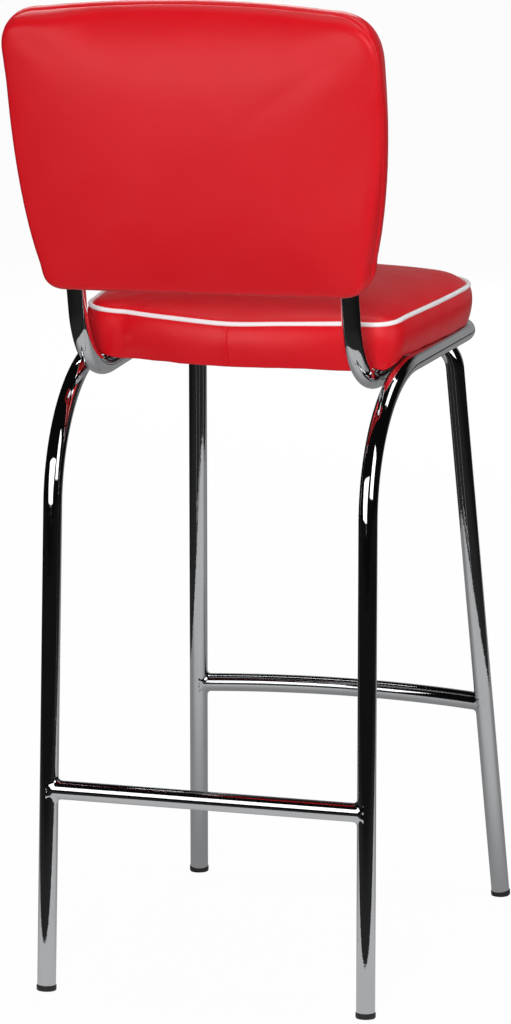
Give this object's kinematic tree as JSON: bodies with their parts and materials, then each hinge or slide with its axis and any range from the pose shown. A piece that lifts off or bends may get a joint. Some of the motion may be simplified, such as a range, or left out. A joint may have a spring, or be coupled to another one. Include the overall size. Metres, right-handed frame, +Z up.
{
  "type": "diner counter stool",
  "caption": "Bar-height diner stool with a bent chromed tube frame, a footrest, a piped red vinyl seat cushion and a padded back on tube uprights.",
  "frame": {"origin": "middle of the footprint, on the floor", "axes": "+Z up from the floor; the front of the seat faces -Y and the padded back is on the +Y side; the sitter's left is +X"},
  "size_m": [0.4424, 0.5948, 1.1631],
  "materials": {
    "chrome": "polished",
    "black_plastic": "satin",
    "zinc": "satin",
    "red_vinyl": "satin",
    "white_vinyl": "satin",
    "foam": "matte",
    "plywood": "matte",
    "black_cloth": "matte"
  },
  "bodies": {
    "root": {"main_frame_tube": "chrome", "front_leg_tube": "chrome", "rear_stretcher": "chrome", "front_footrest": "chrome", "back_upright_left": "chrome", "back_upright_right": "chrome", "seat_bracket_rear_left": "chrome", "seat_bracket_rear_right": "chrome", "seat_bracket_front_left": "chrome", "seat_bracket_front_right": "chrome", "foot_cap_rear_left": "black_plastic", "foot_cap_rear_right": "black_plastic", "foot_cap_front_left": "black_plastic", "foot_cap_front_right": "black_plastic", "seat_screw_rear_left": "zinc", "seat_screw_rear_right": "zinc", "seat_screw_front_left": "zinc", "seat_screw_front_right": "zinc", "seat_tee_nut_rear_left": "zinc", "seat_tee_nut_rear_right": "zinc", "seat_tee_nut_front_left": "zinc", "seat_tee_nut_front_right": "zinc", "back_screw_lower_left": "zinc", "back_screw_lower_right": "zinc", "back_screw_upper_left": "zinc", "back_screw_upper_right": "zinc", "back_tee_nut_lower_left": "zinc", "back_tee_nut_lower_right": "zinc", "back_tee_nut_upper_left": "zinc", "back_tee_nut_upper_right": "zinc", "seat_top_cover": "red_vinyl", "seat_side_band": "red_vinyl", "back_front_cover": "red_vinyl", "back_rear_cover": "red_vinyl", "back_side_band": "red_vinyl", "seat_piping": "white_vinyl", "seat_foam": "foam", "back_front_foam": "foam", "back_rear_foam": "foam", "seat_board": "plywood", "back_board": "plywood", "seat_dust_cover": "black_cloth"}
  },
  "joints": []
}
